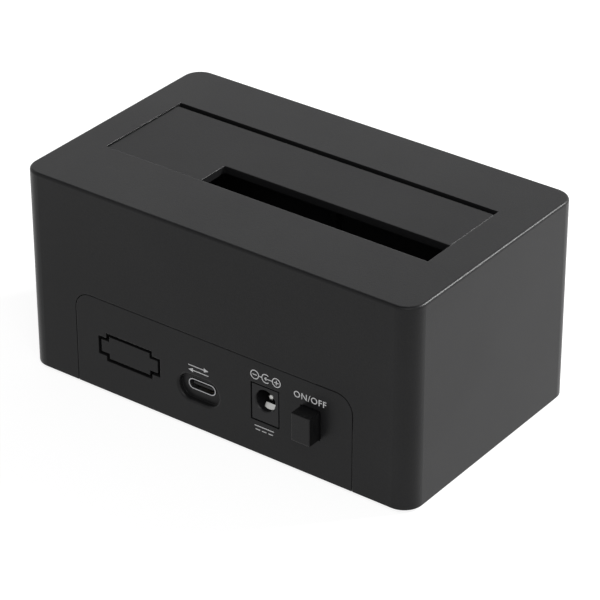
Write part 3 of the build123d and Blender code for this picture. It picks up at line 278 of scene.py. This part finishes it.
def add_value_mix(tree, factor, low, high):
    """Number between low, a number, and high, a socket."""
    node = tree.nodes.new("ShaderNodeMix")
    node.data_type = "FLOAT"
    node.inputs[2].default_value = low
    tree.links.new(factor, node.inputs["Factor"])
    tree.links.new(high, node.inputs[3])
    return node.outputs[0]


def add_mix(tree, factor, low, high):
    """Colour between low and high; each is a colour or a socket."""
    node = tree.nodes.new("ShaderNodeMix")
    node.data_type = "RGBA"
    tree.links.new(factor, node.inputs["Factor"])
    for socket, value in ((node.inputs[6], low), (node.inputs[7], high)):
        if isinstance(value, tuple):
            socket.default_value = (*value, 1)
        else:
            tree.links.new(value, socket)
    return node.outputs[2]


def add_bevel(tree, radius):
    """Normal of the surface with its edges rounded off by this radius."""
    bevel = tree.nodes.new("ShaderNodeBevel")
    bevel.samples = bevel_samples
    bevel.inputs["Radius"].default_value = radius
    return bevel.outputs["Normal"]


def add_bump(tree, height, distance, softness=0.0):
    """Bump from a height socket, on edges rounded off by softness; feeds the shader's normal."""
    bump = tree.nodes.new("ShaderNodeBump")
    bump.inputs["Strength"].default_value = 1.0
    bump.inputs["Distance"].default_value = distance
    tree.links.new(height, bump.inputs["Height"])
    if softness:
        tree.links.new(add_bevel(tree, softness), bump.inputs["Normal"])
    tree.links.new(bump.outputs["Normal"], shader_input(tree, "Normal"))


def add_edge_mask(tree, band):
    """1 along sharp edges and 0 on flat faces, from how far a rounded-off normal leans."""
    rounded = add_bevel(tree, band)
    geometry = tree.nodes.new("ShaderNodeNewGeometry")
    lean = tree.nodes.new("ShaderNodeVectorMath")
    lean.operation = "DOT_PRODUCT"
    tree.links.new(rounded, lean.inputs[0])
    tree.links.new(geometry.outputs["True Normal"], lean.inputs[1])
    return add_range(tree, lean.outputs["Value"], edge_start, edge_full, 0.0, 1.0)


# Materials

def moulded_plastic(name, dark, light, roughness, specular, depth_share=1.0):
    """Plastic from a spark-eroded mould: pitted grain, a slow drift of tone, and edges polished smoother
    and painted lighter as a painted highlight.
    """
    made, tree = start_material(name, light, roughness, specular=specular)
    drift = add_noise(tree, tone_drift_size, detail=2.0)
    grain = add_noise(tree, grain_size, detail=2.0, roughness=grain_roughness)
    fine = add_noise(tree, fine_grain_size, detail=1.0)
    cells = add_cells(tree, grain_size)
    speckle = add_range(tree, add_math(tree, "ADD", drift, grain), speckle_low, speckle_high, 0.0, 1.0)
    edge = add_edge_mask(tree, edge_band)
    body = add_mix(tree, speckle, dark, light)
    # Painted highlight: the plastic's colour is made lighter along every sharp edge.
    painted_highlight_color = tuple(channel * (1 + painted_edge_highlight) for channel in light)
    color = add_mix(tree, add_math(tree, "MULTIPLY", edge, painted_edge_highlight_cover), body, painted_highlight_color)
    tree.links.new(color, shader_input(tree, "Base Color"))
    rough = add_range(tree, fine, noise_low, noise_high, roughness - polish_swing, roughness + polish_swing)
    smoother = add_math(tree, "SUBTRACT", rough, add_math(tree, "MULTIPLY", edge, edge_polish))
    tree.links.new(smoother, shader_input(tree, "Roughness"))
    pits = add_math(tree, "ADD", grain, add_math(tree, "MULTIPLY", cells, cell_share))
    height = add_math(tree, "ADD", pits, add_math(tree, "MULTIPLY", fine, fine_share))
    add_bump(tree, height, grain_depth * depth_share, softness=edge_softness)
    return made


def glossy_plastic(name, dark, light, roughness, specular=0.5):
    """Smooth moulded plastic with faint flow marks."""
    made, tree = start_material(name, light, roughness, specular=specular)
    flow = add_noise(tree, flow_size, stretch=flow_stretch)
    tree.links.new(add_mix(tree, flow, dark, light), shader_input(tree, "Base Color"))
    rough = add_range(tree, flow, noise_low, noise_high, roughness, roughness + flow_roughness)
    tree.links.new(rough, shader_input(tree, "Roughness"))
    add_bump(tree, add_noise(tree, ripple_size), ripple_depth, softness=glossy_edge_softness)
    return made


def rubber(name, dark, light):
    """Matte rubber with dust in its pores."""
    made, tree = start_material(name, light, rubber_roughness, specular=rubber_specular)
    dust = add_noise(tree, dust_size, detail=6.0)
    tree.links.new(add_mix(tree, dust, dark, light), shader_input(tree, "Base Color"))
    add_bump(tree, add_noise(tree, pore_size), pore_depth, softness=edge_softness)
    return made


def metal(name, color, roughness, grain_stretch=(1, 1, 1)):
    """Metal with drawn or rolled marks and slightly uneven polish."""
    made, tree = start_material(name, color, roughness, metallic=1.0)
    marks = add_noise(tree, metal_mark_size, detail=5.0, stretch=grain_stretch)
    darker = tuple(channel * metal_mark_tone for channel in color)
    tree.links.new(add_mix(tree, marks, darker, color), shader_input(tree, "Base Color"))
    smoothest = roughness * metal_smoothest
    roughest = roughness * metal_roughest
    rough = add_range(tree, marks, metal_mark_low, metal_mark_high, smoothest, roughest)
    tree.links.new(rough, shader_input(tree, "Roughness"))
    add_bump(tree, marks, metal_mark_depth, softness=metal_edge_softness)
    return made


def solder_mask(name, dark, light):
    """Green solder mask with lighter tracks of copper under it."""
    made, tree = start_material(name, light, mask_roughness)
    coordinates = tree.nodes.new("ShaderNodeTexCoord")
    tracks = tree.nodes.new("ShaderNodeTexBrick")
    tracks.inputs["Color1"].default_value = (*dark, 1)
    tracks.inputs["Color2"].default_value = (*dark, 1)
    tracks.inputs["Mortar"].default_value = (*light, 1)
    tracks.inputs["Scale"].default_value = track_scale
    tracks.inputs["Mortar Size"].default_value = track_gap
    tree.links.new(coordinates.outputs["Object"], tracks.inputs["Vector"])
    tree.links.new(tracks.outputs["Color"], shader_input(tree, "Base Color"))
    add_bump(tree, tracks.outputs["Fac"], track_depth, softness=mask_edge_softness)
    return made


def clear_plastic(name, color, roughness):
    """Clear moulded plastic with a faint ripple."""
    made, tree = start_material(name, color, roughness)
    shader_input(tree, "Transmission Weight").default_value = clear_transmission
    shader_input(tree, "IOR").default_value = clear_refraction
    add_bump(tree, add_noise(tree, clear_ripple_size), clear_ripple_depth, softness=clear_edge_softness)
    return made


def pad_ink(name, color):
    """Pad-printed ink, a little uneven where it takes up the grain under it."""
    made, tree = start_material(name, color, ink_roughness, specular=ink_specular)
    cover = add_noise(tree, ink_cover_size)
    thin = tuple(channel * ink_thin_tone for channel in color)
    tree.links.new(add_mix(tree, cover, thin, color), shader_input(tree, "Base Color"))
    add_bump(tree, cover, ink_cover_depth)
    return made


def make_materials():
    """One material for each finish slot of the record, and the ink of the marks.

    After its colours a recipe has the roughness, and then a plastic's specular level and depth of grain
    or the stretch of a metal's marks.
    """
    recipes = {
        "case_plastic": (moulded_plastic, case_dark, case_light, 0.34, 0.155),
        "flap_plastic": (moulded_plastic, flap_dark, flap_light, 0.40, 0.155),
        "button_plastic": (moulded_plastic, button_dark, button_light, 0.32, 0.19, 0.4),
        "cradle_plastic": (moulded_plastic, cradle_dark, cradle_light, 0.6, 0.25, 0.7),
        "foot_rubber": (rubber, rubber_dark, rubber_light),
        "connector_plastic": (glossy_plastic, connector_dark, connector_light, 0.28, 0.2),
        "contact_gold": (metal, gold_color, 0.22, (1, 1, 0.3)),
        "bright_metal": (metal, nickel_color, 0.30, (1, 0.3, 1)),
        "socket_steel": (metal, socket_color, 0.36, (1, 0.3, 1)),
        "spring_steel": (metal, spring_color, 0.30, (0.3, 1, 1)),
        "screw_steel": (metal, screw_color, 0.38),
        "board_laminate": (solder_mask, mask_dark, mask_light),
        "chip_plastic": (moulded_plastic, chip_dark, chip_light, 0.6, 0.3, 0.5),
        "can_aluminium": (metal, can_color, 0.34, (1, 1, 0.2)),
        "ceramic": (glossy_plastic, ceramic_dark, ceramic_light, 0.4),
        "clear_plastic": (clear_plastic, clear_color, 0.08),
        "lamp_plastic": (clear_plastic, clear_color, 0.12),
        "mark_ink": (pad_ink, ink_color),
    }
    return {name: make(name, *values) for name, (make, *values) in recipes.items()}


def dress_nodes(frame, materials):
    """Gives every CAD node the material of its slot."""
    for subpart in frame["record"]["subparts"]:
        node = frame["nodes"][subpart["node"]]
        for slot in node.material_slots:
            slot.material = materials[subpart["material_slot"]]


# Springs

def copied_spring(node, material):
    """A copy of a CAD spring with the given material, shown in its place; the CAD spring is hidden."""
    name = node.name + "_wire"
    mesh = node.data.copy()
    mesh.name = name
    mesh.materials.clear()
    mesh.materials.append(material)
    piece = add_object(name, mesh)
    piece.matrix_world = node.matrix_world
    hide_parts(node.name)
    return piece


def flap_springs(frame, material):
    """Torsion springs of the flap: copies of the CAD springs, baked into their places."""
    for name, outward in (("flap_spring_left", -1), ("flap_spring_right", 1)):
        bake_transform(copied_spring(frame["nodes"][name], material))


def switch_spring(frame, material):
    """Return spring of the switch: a copy riding on the case, with a mesh of its own."""
    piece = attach(copied_spring(frame["nodes"]["power_switch_spring"], material), "case")
    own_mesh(piece)


# Marks on the port panel

def on_panel(x, z, panel_y):
    """Places a flat drawing at this point of the panel. Seen from +Y, its own x runs to the right."""
    turn = Matrix(((-1, 0, 0), (0, 0, 1), (0, 1, 0))).to_4x4()
    return Matrix.Translation((x, panel_y + ink_lift, z)) @ turn


def settle(name, curve, place, material):
    """Turns a curve or a text into a mesh piece at its place, riding on the case."""
    drawn = add_object(name + "_drawing", curve)
    bpy.context.view_layer.update()
    mesh = bpy.data.meshes.new_from_object(drawn.evaluated_get(bpy.context.evaluated_depsgraph_get()))
    bpy.data.objects.remove(drawn)
    mesh.transform(place)
    mesh.materials.clear()
    mesh.materials.append(material)
    piece = add_object(name, mesh)
    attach(piece, "case")
    return piece


def ink_mesh(name, outlines, place, material):
    """A thin solid of ink from closed outlines in the drawing's plane, one mesh for them all."""
    curve = bpy.data.curves.new(name, "CURVE")
    curve.dimensions = "2D"
    curve.fill_mode = "BOTH"
    curve.extrude = ink_height / 2
    for outline in outlines:
        spline = curve.splines.new("POLY")
        spline.points.add(len(outline) - 1)
        for point, (x, y) in zip(spline.points, outline):
            point.co = (x, y, 0, 1)
        spline.use_cyclic_u = True
    return settle(name, curve, place, material)


def bar_outline(x, y, length, thickness):
    """A bar along x, centred at x, y."""
    return [
        (x - length / 2, y - thickness / 2),
        (x + length / 2, y - thickness / 2),
        (x + length / 2, y + thickness / 2),
        (x - length / 2, y + thickness / 2),
    ]


def plus_outline(span, thickness):
    """A plus sign about the origin, a quarter of it at a time."""
    quarter = [(span / 2, thickness / 2), (thickness / 2, thickness / 2), (thickness / 2, span / 2)]
    outline = []
    for _ in range(4):
        outline += quarter
        quarter = [(-y, x) for x, y in quarter]
    return outline


def arc_points(radius, start, end):
    """Points along an arc about the origin; start and end in radians."""
    angles = [start + (end - start) * step / curve_steps for step in range(curve_steps + 1)]
    return [(radius * cos(angle), radius * sin(angle)) for angle in angles]


def arc_band(radius, thickness, start, end):
    """A band along an arc about the origin."""
    outer = arc_points(radius + thickness / 2, start, end)
    inner = arc_points(radius - thickness / 2, start, end)
    return outer + inner[::-1]


def circle_outline(radius):
    """A circle about the origin, without its first point again at the end."""
    return arc_points(radius, 0.0, 2 * pi)[:-1]


def switch_mark(panel_y, material):
    """ON/OFF over the button."""
    text = bpy.data.curves.new("switch_mark", "FONT")
    text.body = "ON/OFF"
    text.align_x = "CENTER"
    text.align_y = "CENTER"
    text.space_character = switch_mark_spacing
    text.size = 1.0
    measured = add_object("switch_mark_measured", text)
    bpy.context.view_layer.update()
    size = switch_mark_width / measured.dimensions.x
    bpy.data.objects.remove(measured)
    text.size = size
    text.offset = switch_mark_weight * size
    text.extrude = ink_height / 2
    settle("switch_mark", text, on_panel(switch_mark_x, switch_mark_z, panel_y), material)


def polarity_mark(panel_y, material):
    """The usual signs over a power jack: minus ring, centre pin in an open ring, plus ring."""
    reach = symbol_radius + mark_line / 2
    ring = [circle_outline(reach), circle_outline(symbol_radius - mark_line / 2)]
    center_x = symbol_x["center"]
    link = abs(symbol_x["minus"] - center_x) - 2 * reach
    pin_link = abs(symbol_x["plus"] - center_x) - reach
    open_ring = arc_band(symbol_radius, mark_line, symbol_opening, 2 * pi - symbol_opening)
    drawings = {
        "minus_mark": (ring + [bar_outline(0, 0, symbol_bar, mark_line)], symbol_x["minus"]),
        "plus_mark": (ring + [plus_outline(symbol_bar, mark_line)], symbol_x["plus"]),
        "sleeve_mark": ([open_ring], center_x),
        "sleeve_link_mark": ([bar_outline(-reach - link / 2, 0, link, mark_line)], center_x),
        "pin_mark": ([circle_outline(symbol_dot_radius)], center_x),
        "pin_link_mark": ([bar_outline(pin_link / 2, 0, pin_link, mark_line)], center_x),
    }
    for name, (outlines, x) in drawings.items():
        ink_mesh(name, outlines, on_panel(x, symbol_z, panel_y), material)


def transfer_mark(panel_y, material):
    """Two opposed arrows over the data socket."""
    tip = arrow_length / 2
    neck = tip - arrow_head_length
    right_arrow = [
        (-tip, -mark_line / 2),
        (neck, -mark_line / 2),
        (neck, -arrow_head_width / 2),
        (tip, 0),
        (neck, arrow_head_width / 2),
        (neck, mark_line / 2),
        (-tip, mark_line / 2),
    ]
    for name, sense in (("transfer_mark_upper", 1), ("transfer_mark_lower", -1)):
        outline = [(sense * x, sense * (y + arrow_gap / 2)) for x, y in right_arrow]
        ink_mesh(name, [outline], on_panel(arrow_mark_x, arrow_mark_z, panel_y), material)


def current_mark(panel_y, material):
    """The sign for direct current under the power jack: a line over three dashes."""
    outlines = [bar_outline(0, current_line_gap / 2, current_mark_width, mark_line)]
    step = current_mark_width / current_dash_count
    for dash in range(current_dash_count):
        x = -current_mark_width / 2 + (dash + 0.5) * step
        outlines.append(bar_outline(x, -current_line_gap / 2, step * current_dash_share, mark_line))
    ink_mesh("current_mark", outlines, on_panel(current_mark_x, current_mark_z, panel_y), material)


# Stage

def seen_ray(tree):
    """1 for camera, glossy and transmission rays, 0 for the rest."""
    path = tree.nodes.new("ShaderNodeLightPath")
    either = add_math(tree, "MAXIMUM", path.outputs["Is Camera Ray"], path.outputs["Is Glossy Ray"])
    return add_math(tree, "MAXIMUM", either, path.outputs["Is Transmission Ray"])


def add_paper(tree, tone):
    """A plain matte shader of this grey."""
    paper = tree.nodes.new("ShaderNodeBsdfDiffuse")
    paper.inputs["Color"].default_value = (tone, tone, tone, 1)
    return paper.outputs["BSDF"]


def add_floor():
    """A pale floor that keeps the shadow and reads as white to the camera, to metal and through glass."""
    half = floor_size / 2
    mesh = bpy.data.meshes.new("floor")
    corners = [(x, y, -floor_drop) for x, y in ((-half, -half), (half, -half), (half, half), (-half, half))]
    mesh.from_pydata(corners, [], [(0, 1, 2, 3)])
    floor = add_object("floor", mesh)
    made = bpy.data.materials.new("floor")
    made.use_nodes = True
    tree = made.node_tree
    tree.nodes.clear()
    output = tree.nodes.new("ShaderNodeOutputMaterial")
    lift = tree.nodes.new("ShaderNodeEmission")
    lift.inputs["Strength"].default_value = floor_lift
    seen = tree.nodes.new("ShaderNodeAddShader")
    pick = tree.nodes.new("ShaderNodeMixShader")
    tree.links.new(add_paper(tree, floor_tone), seen.inputs[0])
    tree.links.new(lift.outputs["Emission"], seen.inputs[1])
    tree.links.new(seen_ray(tree), pick.inputs["Fac"])
    tree.links.new(add_paper(tree, floor_bounce_tone), pick.inputs[1])
    tree.links.new(seen.outputs["Shader"], pick.inputs[2])
    tree.links.new(pick.outputs["Shader"], output.inputs["Surface"])
    mesh.materials.append(made)


def set_world():
    """Even light at a plain level; what is seen is a white backdrop under a dark ceiling."""
    world = bpy.data.worlds.new("world")
    world.use_nodes = True
    tree = world.node_tree
    background = tree.nodes["Background"]
    background.inputs["Color"].default_value = (1, 1, 1, 1)
    coordinates = tree.nodes.new("ShaderNodeTexCoord")
    parts = tree.nodes.new("ShaderNodeSeparateXYZ")
    tree.links.new(coordinates.outputs["Generated"], parts.inputs["Vector"])
    fade_end = backdrop_top + backdrop_fade
    room = add_range(tree, parts.outputs["Z"], backdrop_top, fade_end, 1.0, ceiling_level)
    tree.links.new(add_value_mix(tree, seen_ray(tree), world_level, room), background.inputs["Strength"])
    bpy.context.scene.world = world


def add_area_light(name, direction, distance, size, power, target):
    """A square lamp in this direction from the target, facing it."""
    lamp = bpy.data.lights.new(name, "AREA")
    lamp.shape = "SQUARE"
    lamp.size = size
    lamp.energy = power
    light = add_object(name, lamp)
    away = Vector(direction).normalized()
    light.location = target + away * distance
    light.rotation_euler = away.to_track_quat("Z", "Y").to_euler()


def add_camera(foot):
    """The photograph's camera: it looks down on the port panel and the -X end."""
    back = Vector(
        (
            sin(camera_azimuth) * cos(camera_elevation),
            -cos(camera_azimuth) * cos(camera_elevation),
            sin(camera_elevation),
        )
    )
    level_right = Vector((0, 0, 1)).cross(back).normalized()
    level_up = back.cross(level_right)
    right = level_right * cos(camera_roll) + level_up * sin(camera_roll)
    up = level_up * cos(camera_roll) - level_right * sin(camera_roll)
    place = foot + back * camera_distance + right * camera_aim_right + up * camera_aim_up
    camera_data = bpy.data.cameras.new("camera")
    camera_data.lens = camera_lens
    camera_data.sensor_width = camera_sensor
    camera_data.clip_start = camera_clip_start
    camera = add_object("camera", camera_data)
    camera.matrix_world = Matrix.Translation(place) @ Matrix((right, up, back)).transposed().to_4x4()
    bpy.context.scene.camera = camera


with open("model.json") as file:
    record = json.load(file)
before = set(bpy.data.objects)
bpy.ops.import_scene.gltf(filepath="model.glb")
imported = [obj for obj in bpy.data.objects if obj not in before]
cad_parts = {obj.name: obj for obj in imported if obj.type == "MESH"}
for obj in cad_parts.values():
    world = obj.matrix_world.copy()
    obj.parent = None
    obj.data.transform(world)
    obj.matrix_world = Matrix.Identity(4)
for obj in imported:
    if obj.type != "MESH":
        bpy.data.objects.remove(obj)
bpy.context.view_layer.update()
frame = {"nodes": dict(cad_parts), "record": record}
case_low, case_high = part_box("top_shell")
case_foot = Vector(((case_low.x + case_high.x) / 2, (case_low.y + case_high.y) / 2, case_low.z))
case_middle = (case_low + case_high) / 2
panel_face_y = case_high.y

finishes = make_materials()
dress_nodes(frame, finishes)
flap_springs(frame, finishes["spring_steel"])
switch_spring(frame, finishes["spring_steel"])
switch_mark(panel_face_y, finishes["mark_ink"])
polarity_mark(panel_face_y, finishes["mark_ink"])
transfer_mark(panel_face_y, finishes["mark_ink"])
current_mark(panel_face_y, finishes["mark_ink"])

add_floor()
set_world()
add_area_light("key", key_direction, key_distance, key_size, key_power, case_middle)
add_area_light("fill", fill_direction, fill_distance, fill_size, fill_power, case_middle)
add_camera(case_foot)
bpy.context.scene.view_settings.view_transform = "Standard"
